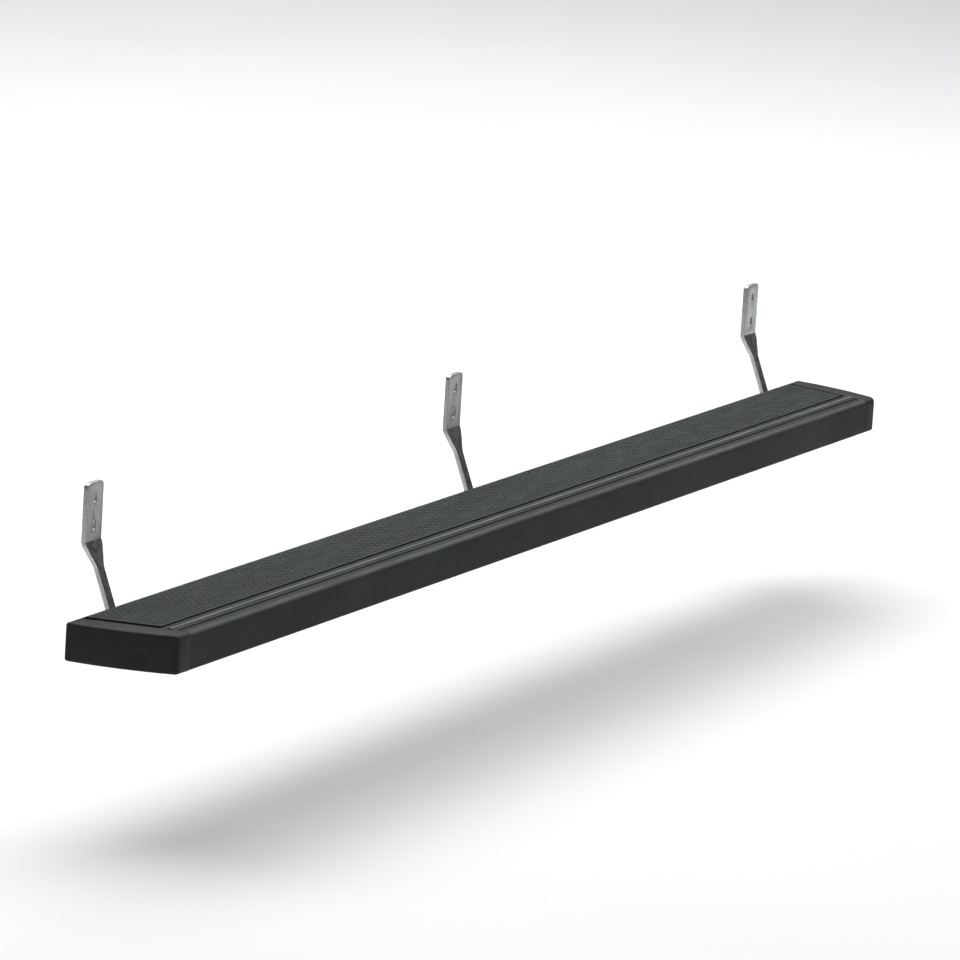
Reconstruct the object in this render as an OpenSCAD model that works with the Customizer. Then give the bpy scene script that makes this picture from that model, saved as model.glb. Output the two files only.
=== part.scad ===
// Running board for a pickup truck: a hollow extruded deck with a tread mat and
// moulded end caps, held by three bent steel brackets that clamp into T-slots.
// +X runs to the rear of the vehicle, +Y inboard, +Z up. The origin is the
// middle of the middle bracket's bolt pattern, on the face that meets the body.

/* [Board] */
// Overall length along the inner edge
board_l = 2550; // [2000:10:2600]
// Overall width
board_w = 178; // [174:1:190]
// Height of the extrusion
board_t = 61; // [56:1:66]
// Angle of each end, seen from above
end_angle = 13; // [6:1:16]
// How far each end bows outward from a straight cut
end_crown = 8; // [4:1:9]

/* [Extrusion] */
// Wall thickness
wall = 2.6; // [2.4:0.1:3.4]
// Radius of the top outer edge
outer_edge_r = 9; // [7:0.5:10]
// Radius of the top inner edge
inner_edge_r = 5; // [4:0.5:6]
// Radius of the two bottom edges
bottom_edge_r = 5; // [4:0.5:6]
// Distance from the outer edge to the first groove
groove_1_s = 22; // [20:0.5:24]
// Distance from the outer edge to the raised bead
bead_s = 35; // [33:0.5:38]
// Width of a groove
groove_w = 4; // [3:0.5:5]
// Depth of a groove
groove_d = 2.2; // [1.5:0.1:2.4]
// Height of the raised bead
bead_h = 1.8; // [1.2:0.1:2.4]

/* [Tread] */
// Distance from the outer edge to the tread recess
tread_s = 50; // [48:0.5:54]
// Width of the rim along the inner edge
tread_rim = 6; // [6:0.5:9]
// Depth of the tread recess
tread_d = 3.2; // [2.6:0.1:3.6]
// Thickness of the tread mat
tread_t = 4; // [3.6:0.1:4.4]
// Gap between the tread mat and each end cap
tread_gap = 10; // [4:1:14]

/* [T-slots] */
// Distance from the outer edge to the outer T-slot
slot_1_s = 52; // [50:1:56]
// Distance from the outer edge to the inner T-slot
slot_2_s = 126; // [120:1:130]
// Width of a T-slot's mouth
slot_mouth = 9; // [8.6:0.1:9.6]
// Width inside a T-slot
slot_inner = 16; // [15:0.5:17]
// Height inside a T-slot
slot_h = 8; // [7:0.5:9]
// Thickness of a T-slot's lips
slot_lip = 3.5; // [3:0.1:4]

/* [End caps] */
// Length of each end cap along the board
cap_l = 38; // [32:1:46]
// Depth of the tongues that enter the extrusion
tongue_l = 24; // [20:1:30]

/* [Brackets] */
// Front bracket's distance from the board's front end
front_x = 155; // [90:5:300]
// Middle bracket's distance from the board's front end
middle_x = 1312; // [1000:2:1500]
// Rear bracket's distance from the board's front end
rear_x = 2440; // [2300:5:2460]
// Plate thickness
plate_t = 8; // [7:0.5:9]
// Width of the foot under the board
foot_w = 50; // [46:1:56]
// Width of the neck beside the board
neck_w = 18; // [14:1:24]
// Lean of the neck from the vertical
neck_lean = 22; // [16:1:26]
// Width of the mounting plate
mount_w = 46; // [42:1:54]
// Distance between the two mounting slots
mount_pitch = 44; // [40:1:50]
// Width of a mounting slot, for an M8 bolt
mount_slot_w = 9; // [8.6:0.1:9.4]
// Length of a mounting slot
mount_slot_l = 18; // [14:1:20]
// Height of the mounting centre over the board's top
mount_rise = 140; // [132:1:160]
// Gap between the neck and the board's inner edge
neck_gap = 10; // [9:0.5:14]
// In and out travel of the board in the brackets, each way
side_travel = 8; // [5:1:8]

/* [Hidden] */
$fn = 48;

// Clearances
face_gap = 0.3;
fit_gap = 0.05;
cut = 1;

// M8 clamp hardware
bolt_r = 4;
bolt_end = 23;
head_l = 24;
head_w = 13;
head_h = 5;
neck_sq = 8;
washer_r = 8;
washer_t = 1.6;
lock_r = 7.2;
lock_t = 2;
nut_af = 13;
nut_h = 6.8;

// End cap screws
screw_r = 2.1;
screw_len = 9;
screw_head_r = 4;
screw_head_h = 2.4;
screw_inset = 14;
screw_s = [screw_inset, board_w - screw_inset];

// End cap shell, and the plugs that close the T-slots' ends
tongue_h = 8;
plug_l = 8;
cap_wall = 3.5;
cap_inner_r = 2;
corner_r = 9;

// Raised bead: half widths at its foot and its top, in bead heights
bead_foot = 2.5;
bead_crest = 1.2;

// Bracket plate: heights of its tapers, radii of its outline, and its ribs
mount_h = 92;
plate_corner_r = 8;
foot_corner_r = 12;
taper_r = 14;
foot_taper_z = 12;
neck_from_z = 40;
neck_to_z = 40;
mount_taper_z = 8;
neck_r = 20;
bend_r = 6;
bend_drop = 6;
rib_t = 5;
rib_deep = 16;
rib_shallow = 5;
rib_inset = 12;
rib_tip = 44;
rib_r = [6, 10, 2];

// Split of a spring washer: its width, tilt and heading
split_w = 1.2;
split_tilt = 28;
split_turn = 40;
washer_gap = 0.2;
lock_gap = 0.1;

// Places that follow from the driving sizes
lean_dx = tan(neck_lean);
leg_y = -(mount_rise - mount_h / 2 + bend_drop) * lean_dx;
y_in = leg_y - neck_gap;
y_out = y_in - board_w;
z_top = -mount_rise;
z_bot = z_top - board_t;
x_front = -middle_x;
end_dx = board_w * tan(end_angle);
chord = board_w / cos(end_angle);
crown_r = chord * chord / (8 * end_crown) + end_crown / 2;
foot_top = z_bot - face_gap;
foot_bot = foot_top - plate_t;
slot_s = [slot_1_s, slot_2_s];
block_top = slot_lip + slot_h + wall;
web_s = [slot_1_s, (slot_1_s + slot_2_s) / 2, slot_2_s];
roof = board_t - tread_d - wall;
washer_z = -face_gap - plate_t - face_gap / 2 - washer_t;
lock_z = washer_z - lock_t;
nut_z = lock_z - nut_h;
foot_end = y_out + slot_1_s - slot_inner - side_travel;
bracket_x = [front_x - middle_x, 0, rear_x - middle_x];

// One rounded corner of an outline: an arc of radius r, tangent to both edges
function corner(a, b, c, r, n) =
  let (
    u = (a - b) / norm(a - b),
    v = (c - b) / norm(c - b),
    half = acos(u * v) / 2,
    mid = b + (u + v) / norm(u + v) * r / sin(half),
    p = b + u * r / tan(half) - mid,
    q = b + v * r / tan(half) - mid,
    a0 = atan2(p[1], p[0]),
    turn = atan2(p[0] * q[1] - p[1] * q[0], p * q)
  )
  [for (i = [0:n]) mid + r * [cos(a0 + turn * i / n), sin(a0 + turn * i / n)]];

// An outline [[x, y, radius], ...] with its corners rounded
function rounded(pts, n = 6) =
  [for (i = [0:len(pts) - 1])
    let (
      a = pts[(i + len(pts) - 1) % len(pts)],
      b = pts[i],
      c = pts[(i + 1) % len(pts)]
    )
    each (b[2] == 0 ? [[b[0], b[1]]] :
      corner([a[0], a[1]], [b[0], b[1]], [c[0], c[1]], b[2], n))];

// Lays a section drawn in (Y, Z) along X, from x0 to x1
module along_x(x0, x1) {
  translate([x0, 0, 0]) rotate([90, 0, 90]) linear_extrude(x1 - x0) children();
}

// Lays a section of the board, drawn from its outer bottom edge, along the board
module along_board() {
  translate([0, y_out, z_bot]) along_x(x_front - cut, x_front + board_l + cut) children();
}

// Where the front end's straight cut crosses the line at distance s from the outer edge
function front_cut(s, inset) = x_front + inset + end_dx * (board_w - s) / board_w;

// A prism over the plan of the board, with both ends cut back by the inset
module plan_prism(inset) {
  x_in = front_cut(board_w, inset);
  x_out = front_cut(0, inset);
  x_mid = x_front + board_l / 2;
  half_in = x_mid - x_in;
  half_out = x_mid - x_out;
  translate([x_mid, 0, z_bot - board_t]) linear_extrude(3 * board_t)
    polygon([[-half_in, y_in], [half_in, y_in], [half_out, y_out], [-half_out, y_out]]);
}

// Outer outline of the board's section
module board_outline() {
  polygon(rounded([
    [0, 0, bottom_edge_r],
    [board_w, 0, bottom_edge_r],
    [board_w, board_t, inner_edge_r],
    [0, board_t, outer_edge_r]
  ]));
}

// Hollow chambers, with the T-slot blocks and webs left standing
module board_chambers() {
  difference() {
    polygon(rounded([
      [wall, wall, bottom_edge_r / 2],
      [board_w - wall, wall, bottom_edge_r / 2],
      [board_w - wall, roof, bottom_edge_r / 2],
      [wall, roof, bottom_edge_r]
    ]));
    for (s = slot_s)
      translate([s - slot_inner / 2 - wall, 0]) square([slot_inner + 2 * wall, block_top]);
    for (s = web_s)
      translate([s - wall / 2, 0]) square([wall, board_t]);
  }
}

// T-slots, open at the bottom
module t_slots() {
  for (s = slot_s) {
    translate([s - slot_mouth / 2, -cut]) square([slot_mouth, slot_lip + 2 * cut]);
    translate([s - slot_inner / 2, slot_lip]) square([slot_inner, slot_h]);
  }
}

// Everything cut into the outline: T-slots, groove and tread recess
module board_cuts() {
  t_slots();
  translate([groove_1_s - groove_w / 2, board_t - groove_d]) square([groove_w, groove_d + cut]);
  translate([tread_s, board_t - tread_d])
    square([board_w - tread_rim - tread_s, tread_d + cut]);
}

module deck() {
  color("#3f413f") difference() {
    intersection() {
      union() {
        along_board() difference() {
          board_outline();
          board_chambers();
          board_cuts();
        }
        translate([0, 0, board_t]) along_board()
          polygon(rounded([
            [bead_s - bead_foot * bead_h, -cut, 0],
            [bead_s + bead_foot * bead_h, -cut, 0],
            [bead_s + bead_crest * bead_h, bead_h, bead_h],
            [bead_s - bead_crest * bead_h, bead_h, bead_h]
          ]));
      }
      plan_prism(cap_l);
    }
    for (s = screw_s, end = [0, 1])
      cap_screw_place(s, end)
        translate([0, 0, -cut]) cylinder(h = wall + 2 * cut, r = screw_r + 2 * fit_gap);
  }
}

// Puts a thing at an end cap screw: end 0 is the front, end 1 the rear
module cap_screw_place(s, end) {
  x = front_cut(s, cap_l + tongue_l / 2);
  x_mid = x_front + board_l / 2;
  translate([end == 0 ? x : 2 * x_mid - x, y_out + s, z_bot]) children();
}

// Mat in the tread recess, with a groove's width left open along its outer edge
module tread_mat() {
  mat_w = board_w - tread_rim - tread_s - groove_w - face_gap;
  color("#4a4c4a") intersection() {
    along_board() translate([tread_s + groove_w, board_t - tread_d + fit_gap])
      polygon(rounded([
        [0, 0, 0],
        [mat_w, 0, 0],
        [mat_w, tread_t, 1],
        [0, tread_t, 1]
      ]));
    plan_prism(cap_l + tread_gap);
  }
}

// Plan of the whole board with its bowed ends and rounded corners
module board_plan() {
  offset(r = corner_r) offset(delta = -corner_r) intersection() {
    translate([x_front, y_out]) square([board_l, board_w]);
    for (side = [0, 1])
      translate([side == 0 ? 0 : 2 * x_front + board_l, 0]) mirror([side, 0])
        translate([x_front + end_dx / 2, (y_in + y_out) / 2])
          rotate(end_angle) translate([crown_r - end_crown, 0])
            circle(r = crown_r, $fn = 360);
    for (side = [0, 1])
      translate([side == 0 ? 0 : 2 * x_front + board_l, 0]) mirror([side, 0])
        polygon([[x_front + board_l, y_out], [x_front + board_l, y_in],
                 [x_front - board_w, y_in], [x_front - board_w, y_out]]);
  }
}

// Section that the cap's inner parts fill: tongues on the chambers' floors and roofs
module tongue_section() {
  intersection() {
    offset(delta = -face_gap) board_chambers();
    union() {
      square([board_w, wall + tongue_h]);
      translate([0, roof - tongue_h / 2]) square([board_w, tongue_h]);
    }
  }
}

// Section of the plugs in the T-slots' ends
module plug_section() {
  intersection() {
    offset(delta = -face_gap) t_slots();
    square([board_w, board_t]);
  }
}

// A section that starts inside the cap's end wall and enters the board to the given depth
module cap_insert(depth) {
  intersection() {
    translate([0, y_out, z_bot]) along_x(x_front + cap_wall, x_front + board_l / 2) children();
    difference() {
      translate([0, 0, z_bot]) linear_extrude(board_t) offset(delta = -cap_wall / 2) board_plan();
      plan_prism(cap_l + depth);
    }
  }
}

// Hollow shell of the front cap, open toward the board
module cap_shell() {
  difference() {
    intersection() {
      translate([0, 0, z_bot]) linear_extrude(board_t) board_plan();
      along_board() board_outline();
    }
    plan_prism(cap_l);
    intersection() {
      translate([cap_wall, 0, z_bot + cap_wall])
        linear_extrude(board_t - 2 * cap_wall) offset(delta = -cap_wall / 2) board_plan();
      along_board() polygon(rounded([
        [cap_wall, cap_wall, cap_inner_r],
        [board_w - cap_wall, cap_wall, cap_inner_r],
        [board_w - cap_wall, board_t - cap_wall, cap_inner_r],
        [cap_wall, board_t - cap_wall, outer_edge_r - cap_wall]
      ]));
    }
    translate([x_front + board_l / 2, y_out - cut, z_bot - cut])
      cube([board_l, board_w + 2 * cut, board_t + 2 * cut]);
  }
}

module end_cap_front() {
  difference() {
    union() {
      cap_shell();
      cap_insert(tongue_l) tongue_section();
      cap_insert(plug_l) plug_section();
    }
    for (s = screw_s)
      cap_screw_place(s, 0) cylinder(h = wall + tongue_h - cut, r = screw_r + fit_gap);
  }
}

module front_end_cap() {
  color("#262726") end_cap_front();
}

module rear_end_cap() {
  color("#262726") translate([2 * x_front + board_l, 0, 0]) mirror([1, 0, 0]) end_cap_front();
}

// Two self-tapping screws that hold an end cap from below
module cap_screws(end) {
  color("#8c8f92") for (s = screw_s) cap_screw_place(s, end) {
    cylinder(h = screw_len, r = screw_r);
    translate([0, 0, -screw_head_h]) cylinder(h = screw_head_h, r = screw_head_r);
  }
}

// A slot of the given width, from -l / 2 to l / 2 along Y in its own plane
module slot_outline(w, l) {
  translate([-w / 2, -(l - w) / 2]) square([w, l - w]);
  for (side = [-1, 1]) translate([0, side * (l - w) / 2]) circle(r = w / 2);
}

// Side view of the bent plate, in (Y, Z)
module bracket_side() {
  run = plate_t / cos(neck_lean);
  bend_z = z_top - bend_drop;
  top_bend_z = bend_z - leg_y / lean_dx;
  polygon(rounded([
    [foot_end, foot_top, 0],
    [leg_y, foot_top, bend_r],
    [leg_y, bend_z, bend_r],
    [0, top_bend_z, bend_r],
    [0, mount_h / 2, 0],
    [plate_t, mount_h / 2, 0],
    [plate_t, top_bend_z + (plate_t - run) / lean_dx, bend_r],
    [leg_y + plate_t, bend_z + (plate_t - run) / lean_dx, bend_r],
    [leg_y + plate_t, foot_bot, bend_r + plate_t],
    [foot_end, foot_bot, 0]
  ]));
}

// Front view of the bent plate, in (X, Z): wide foot, slim neck, wide mounting plate
module bracket_front() {
  half_foot = foot_w / 2;
  half_neck = neck_w / 2;
  half_top = mount_w / 2;
  right = [
    [half_foot, z_bot - 2 * plate_t, 0],
    [half_foot, z_bot + foot_taper_z, taper_r],
    [half_neck, z_bot + neck_from_z, taper_r],
    [half_neck, -mount_h / 2 - neck_to_z, neck_r],
    [half_top, -mount_h / 2 - mount_taper_z, taper_r],
    [half_top, mount_h / 2, plate_corner_r]
  ];
  left = [for (i = [len(right) - 1:-1:0]) [-right[i][0], right[i][1], right[i][2]]];
  polygon(rounded(concat(right, left)));
}

// One bracket: a bent plate with two stiffening ribs under its foot
module bracket(x) {
  rib_from = foot_end + rib_inset;
  rib_to = leg_y + plate_t - rib_inset;
  color("#b9bcbe") translate([x, 0, 0]) difference() {
    union() {
      intersection() {
        along_x(-foot_w, foot_w) bracket_side();
        translate([0, 2 * board_w, 0]) rotate([90, 0, 0])
          linear_extrude(4 * board_w) bracket_front();
        translate([0, 0, z_bot - 2 * board_t]) linear_extrude(mount_rise + 4 * board_t)
          polygon(rounded([
            [-foot_w / 2 - cut, 2 * plate_t, 0],
            [-foot_w / 2 - cut, foot_end, foot_corner_r],
            [foot_w / 2 + cut, foot_end, foot_corner_r],
            [foot_w / 2 + cut, 2 * plate_t, 0]
          ]));
      }
      for (side = [-1, 1])
        translate([side * (foot_w - rib_t) / 2, 0, 0]) along_x(-rib_t / 2, rib_t / 2)
          polygon(rounded([
            [rib_from, foot_bot + plate_t / 2, 0],
            [rib_to, foot_bot + plate_t / 2, 0],
            [rib_to, foot_bot - rib_deep, rib_r[0]],
            [rib_to + rib_inset - rib_tip, foot_bot - rib_deep, rib_r[1]],
            [rib_from, foot_bot - rib_shallow, rib_r[2]]
          ]));
    }
    for (s = slot_s)
      translate([0, y_out + s, foot_bot - cut]) linear_extrude(plate_t + 2 * cut)
        slot_outline(slot_mouth, slot_mouth + 2 * side_travel);
    for (side = [-1, 1])
      translate([0, plate_t + cut, side * mount_pitch / 2]) rotate([90, 0, 0])
        linear_extrude(plate_t + 2 * cut) slot_outline(mount_slot_w, mount_slot_l);
  }
}

// Repeats a thing at both T-slots of the bracket at x, from the board's underside down
module at_slots(x) {
  for (s = slot_s) translate([x, y_out + s, z_bot]) children();
}

// T-bolts: a hammer head in the slot, a square neck in its mouth, and a round shank
module t_bolts(x) {
  color("#c4c6c8") at_slots(x) {
    translate([0, 0, slot_lip + face_gap]) intersection() {
      cylinder(h = head_h, r = head_l / 2);
      translate([-head_l / 2, -head_w / 2, 0]) cube([head_l, head_w, head_h]);
    }
    translate([-neck_sq / 2, -neck_sq / 2, cut]) cube([neck_sq, neck_sq, slot_lip]);
    translate([0, 0, -bolt_end]) cylinder(h = bolt_end + slot_lip, r = bolt_r);
  }
}

module ring(r_out, r_in, h) {
  difference() {
    cylinder(h = h, r = r_out);
    translate([0, 0, -cut]) cylinder(h = h + 2 * cut, r = r_in);
  }
}

module washers(x) {
  color("#c9cbcd") at_slots(x)
    translate([0, 0, washer_z]) ring(washer_r, bolt_r + washer_gap, washer_t);
}

// Split spring washers
module lock_washers(x) {
  color("#b4b7b9") at_slots(x) translate([0, 0, lock_z]) difference() {
    ring(lock_r, bolt_r + lock_gap, lock_t);
    rotate([0, split_tilt, split_turn])
      translate([0, -split_w / 2, -lock_t]) cube([2 * lock_r, split_w, 3 * lock_t]);
  }
}

module nuts(x) {
  color("#c0c2c4") at_slots(x) translate([0, 0, nut_z]) difference() {
    cylinder(h = nut_h, r = nut_af / sqrt(3), $fn = 6);
    translate([0, 0, -cut]) cylinder(h = nut_h + 2 * cut, r = bolt_r + fit_gap);
  }
}

deck();
tread_mat();
front_end_cap();
rear_end_cap();
cap_screws(0);  // front_cap_screws
cap_screws(1);  // rear_cap_screws
bracket(bracket_x[0]);  // front_bracket
t_bolts(bracket_x[0]);  // front_t_bolts
washers(bracket_x[0]);  // front_washers
lock_washers(bracket_x[0]);  // front_lock_washers
nuts(bracket_x[0]);  // front_nuts
bracket(bracket_x[1]);  // middle_bracket
t_bolts(bracket_x[1]);  // middle_t_bolts
washers(bracket_x[1]);  // middle_washers
lock_washers(bracket_x[1]);  // middle_lock_washers
nuts(bracket_x[1]);  // middle_nuts
bracket(bracket_x[2]);  // rear_bracket
t_bolts(bracket_x[2]);  // rear_t_bolts
washers(bracket_x[2]);  // rear_washers
lock_washers(bracket_x[2]);  // rear_lock_washers
nuts(bracket_x[2]);  // rear_nuts
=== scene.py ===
"""Looks for a pickup truck's running board: deck, tread mat, end caps, brackets and M8 hardware."""

import math

import bmesh
import bpy
from mathutils import Matrix, Vector
from mathutils.geometry import tessellate_polygon


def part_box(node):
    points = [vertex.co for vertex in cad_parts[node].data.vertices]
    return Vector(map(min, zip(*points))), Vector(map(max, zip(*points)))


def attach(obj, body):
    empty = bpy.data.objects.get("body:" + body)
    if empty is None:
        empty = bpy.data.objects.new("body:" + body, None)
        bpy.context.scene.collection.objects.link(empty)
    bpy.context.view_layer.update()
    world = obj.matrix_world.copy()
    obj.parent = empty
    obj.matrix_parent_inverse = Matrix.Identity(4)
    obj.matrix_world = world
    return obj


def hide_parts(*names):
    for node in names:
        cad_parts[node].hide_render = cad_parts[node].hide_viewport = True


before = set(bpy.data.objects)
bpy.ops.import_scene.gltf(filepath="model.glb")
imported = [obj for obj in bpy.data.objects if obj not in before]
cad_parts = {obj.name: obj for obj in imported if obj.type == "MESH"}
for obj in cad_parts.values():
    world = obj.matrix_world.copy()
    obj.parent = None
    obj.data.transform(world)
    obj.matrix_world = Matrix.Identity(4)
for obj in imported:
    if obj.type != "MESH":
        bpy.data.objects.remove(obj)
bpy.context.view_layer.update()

# ---------------------------------------------------------------- sizes, in metres
MM = 0.001
TAU = 2 * math.pi

cap_low, cap_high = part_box("front_end_cap")
deck_low, deck_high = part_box("deck")
mat_low, mat_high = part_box("tread_mat")

Y_OUT = cap_low.y
Y_IN = cap_high.y
Z_BOT = cap_low.z
Z_TOP = cap_high.z
WIDTH = Y_IN - Y_OUT
HEIGHT = Z_TOP - Z_BOT
X_FRONT = cap_low.x
X_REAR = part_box("rear_end_cap")[1].x
X_MID = (X_FRONT + X_REAR) / 2

# The board's ends and section; a name that ends in _S is a distance from the outer side
END_ANGLE = math.radians(13)
END_CROWN = 8 * MM
OUTER_EDGE_R = 9 * MM
INNER_EDGE_R = 5 * MM
BOTTOM_EDGE_R = 5 * MM
WALL = 2.6 * MM
GROOVE_W = 4 * MM
GROOVE_D = 2.2 * MM
GROOVE_S = 22 * MM
BEAD_S = 35 * MM
BEAD_H = deck_high.z - Z_TOP
TREAD_S = 50 * MM
TREAD_RIM = 6 * MM
TREAD_D = 3.2 * MM
SLOT_S = (52 * MM, 126 * MM)
SLOT_MOUTH = 9 * MM
SLOT_INNER = 16 * MM
SLOT_LIP = 3.5 * MM
SLOT_H = 8 * MM
SOFT_EDGE = 0.5 * MM
CORNER_STEPS = 3
SETS = ("front", "middle", "rear")


# ---------------------------------------------------------------- materials
COAT_DARK = (0.0156, 0.0177, 0.0156)
COAT_PALE = (0.0234, 0.0267, 0.0234)
COAT_GRAIN = (0.0405, 0.0453, 0.0405)
COAT_DUST = (0.057, 0.0624, 0.0561)
# The next colour is partly rubbed-through coat and partly a painted highlight on the outer top edge and
# the bead's crest.
COAT_RUBBED_AND_HIGHLIGHT = (0.146, 0.162, 0.144)
RUBBER_DARK = (0.0225, 0.0264, 0.0222)
RUBBER_PALE = (0.036, 0.0417, 0.0354)
LUG_DARK = (0.0516, 0.0597, 0.0507)
LUG_PALE = (0.0945, 0.1065, 0.093)
PLASTIC_DARK = (0.0126, 0.0138, 0.0126)
PLASTIC_PALE = (0.0198, 0.0213, 0.0198)
PLASTIC_MARKED = (0.049, 0.0525, 0.049)
ZINC_BLOOM = (0.3, 0.306, 0.312)
FLOOR_DARK = (0.82, 0.82, 0.82)
FLOOR_PALE = (0.85, 0.85, 0.85)
NOISE_ROUGHNESS = 0.6


class Shader:
    """A material's node tree, with short calls for the nodes that it is made of."""

    def __init__(self, name, metallic, roughness, specular=0.5):
        self.material = bpy.data.materials.new(name)
        self.material.use_nodes = True
        self.tree = self.material.node_tree
        self.principled = self.tree.nodes["Principled BSDF"]
        self.principled.inputs["Metallic"].default_value = metallic
        self.principled.inputs["Roughness"].default_value = roughness
        self.principled.inputs["Specular IOR Level"].default_value = specular
        self.place = self.tree.nodes.new("ShaderNodeTexCoord").outputs["Object"]

    def link(self, a, b):
        self.tree.links.new(a, b)

    def stretched(self, scale):
        """The object's own coordinates, each multiplied by its part of the scale."""
        node = self.tree.nodes.new("ShaderNodeMapping")
        node.inputs["Scale"].default_value = scale
        self.link(self.place, node.inputs["Vector"])
        return node.outputs["Vector"]

    def noise(self, scale, detail, vector=None):
        """Cloudy noise, mostly between 0.3 and 0.7."""
        node = self.tree.nodes.new("ShaderNodeTexNoise")
        node.inputs["Scale"].default_value = scale
        node.inputs["Detail"].default_value = detail
        node.inputs["Roughness"].default_value = NOISE_ROUGHNESS
        self.link(vector or self.place, node.inputs["Vector"])
        return node.outputs["Fac"]

    def cells(self, scale):
        """Distance to the nearest of many scattered points."""
        node = self.tree.nodes.new("ShaderNodeTexVoronoi")
        node.inputs["Scale"].default_value = scale
        self.link(self.place, node.inputs["Vector"])
        return node.outputs["Distance"]

    def ramp(self, value, low, high, start, end):
        """Maps a value from low..high onto start..end, and holds it within them."""
        node = self.tree.nodes.new("ShaderNodeMapRange")
        node.inputs["From Min"].default_value = low
        node.inputs["From Max"].default_value = high
        node.inputs["To Min"].default_value = start
        node.inputs["To Max"].default_value = end
        self.link(value, node.inputs["Value"])
        return node.outputs["Result"]

    def mix(self, factor, a, b):
        """Blends two colours; each is a socket or an (r, g, b)."""
        node = self.tree.nodes.new("ShaderNodeMix")
        node.data_type = "RGBA"
        self.link(factor, node.inputs[0])
        for socket, value in ((node.inputs[6], a), (node.inputs[7], b)):
            if isinstance(value, tuple):
                socket.default_value = (*value, 1)
            else:
                self.link(value, socket)
        return node.outputs[2]

    def math(self, operation, a, b):
        """Joins two sockets by an operation such as ADD."""
        node = self.tree.nodes.new("ShaderNodeMath")
        node.operation = operation
        self.link(a, node.inputs[0])
        self.link(b, node.inputs[1])
        return node.outputs[0]

    def axis(self, name):
        """X, Y or Z of the object's own coordinates."""
        node = self.tree.nodes.new("ShaderNodeSeparateXYZ")
        self.link(self.place, node.inputs[0])
        return node.outputs[name]

    def crystals(self, scale):
        """A flat random value per cell, as a zinc spangle has."""
        node = self.tree.nodes.new("ShaderNodeTexVoronoi")
        node.inputs["Scale"].default_value = scale
        self.link(self.place, node.inputs["Vector"])
        split = self.tree.nodes.new("ShaderNodeSeparateColor")
        self.link(node.outputs["Color"], split.inputs[0])
        return split.outputs[0]

    def bump(self, *layers):
        """Each layer is (height socket, strength, depth in metres)."""
        normal = None
        for height, strength, depth in layers:
            node = self.tree.nodes.new("ShaderNodeBump")
            node.inputs["Strength"].default_value = strength
            node.inputs["Distance"].default_value = depth
            self.link(height, node.inputs["Height"])
            if normal is not None:
                self.link(normal, node.inputs["Normal"])
            normal = node.outputs["Normal"]
        self.link(normal, self.principled.inputs["Normal"])

    def color(self, socket):
        self.link(socket, self.principled.inputs["Base Color"])

    def rough(self, socket):
        self.link(socket, self.principled.inputs["Roughness"])


def rubbed_and_highlit_edges(s):
    """Where boots rub the coat, painted pale partly as wear and partly as a painted highlight: the
    bead's crest and the rounded top outer edge, broken up by scuffs.
    """
    z = s.axis("Z")
    bead = s.ramp(z, Z_TOP + 0.3 * BEAD_H, Z_TOP + 0.9 * BEAD_H, 0, 1)
    across = s.ramp(s.axis("Y"), Y_OUT + 0.25 * OUTER_EDGE_R, Y_OUT + 1.1 * OUTER_EDGE_R, 1, 0)
    up = s.ramp(z, Z_TOP - 0.75 * OUTER_EDGE_R, Z_TOP - 0.1 * OUTER_EDGE_R, 0, 1)
    edge = s.math("MULTIPLY", across, up)
    scuff = s.ramp(s.noise(45, 5, vector=s.stretched((0.12, 1.0, 1.0))), 0.35, 0.65, 0.45, 1)
    return s.math("MULTIPLY", s.math("MAXIMUM", bead, edge), scuff)


def powder_coat():
    """Textured charcoal powder coat: a fine sandy skin, faint mottle, dust, and edges painted pale
    partly as rubbed wear and partly as a painted highlight.
    """
    s = Shader("powder_coat", 0.0, 0.6, specular=0.12)
    sand = s.noise(1500, 2)
    mottle = s.noise(70, 4)
    drift = s.noise(5, 3)
    rubbed_and_highlit = rubbed_and_highlit_edges(s)
    tone = s.mix(s.ramp(mottle, 0.3, 0.7, 0, 1), COAT_DARK, COAT_PALE)
    speck = s.mix(s.ramp(sand, 0.45, 0.72, 0, 1), tone, COAT_GRAIN)
    dusty = s.mix(s.ramp(drift, 0.45, 0.75, 0, 0.3), speck, COAT_DUST)
    # Painted highlight mixed with real wear: the bead's crest and the outer top edge turn pale.
    s.color(s.mix(rubbed_and_highlit, dusty, COAT_RUBBED_AND_HIGHLIGHT))
    worn_rough = s.ramp(rubbed_and_highlit, 0, 1, 0, -0.16)
    s.rough(s.math("ADD", s.ramp(mottle, 0.3, 0.7, 0.52, 0.66), worn_rough))
    s.bump((sand, 0.6, 0.25 * MM), (s.cells(700), 0.35, 0.3 * MM))
    return s.material


def tread_rubber():
    """Moulded grip mat: dark between the lugs, paler and scuffed on their tops."""
    s = Shader("tread_rubber", 0.0, 0.7, specular=0.15)
    grain = s.noise(900, 3)
    patch = s.noise(22, 4)
    scuff = s.noise(60, 5, vector=s.stretched((0.25, 1.0, 1.0)))
    on_top = s.ramp(s.axis("Z"), mat_high.z - 0.3 * MM, mat_high.z + 0.5 * MM, 0, 1)
    base = s.mix(s.ramp(patch, 0.35, 0.7, 0, 1), RUBBER_DARK, RUBBER_PALE)
    worn = s.mix(s.ramp(scuff, 0.4, 0.7, 0, 1), LUG_DARK, LUG_PALE)
    s.color(s.mix(on_top, base, worn))
    s.rough(s.ramp(scuff, 0.35, 0.7, 0.62, 0.82))
    s.bump((grain, 0.7, 0.3 * MM))
    return s.material


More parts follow.
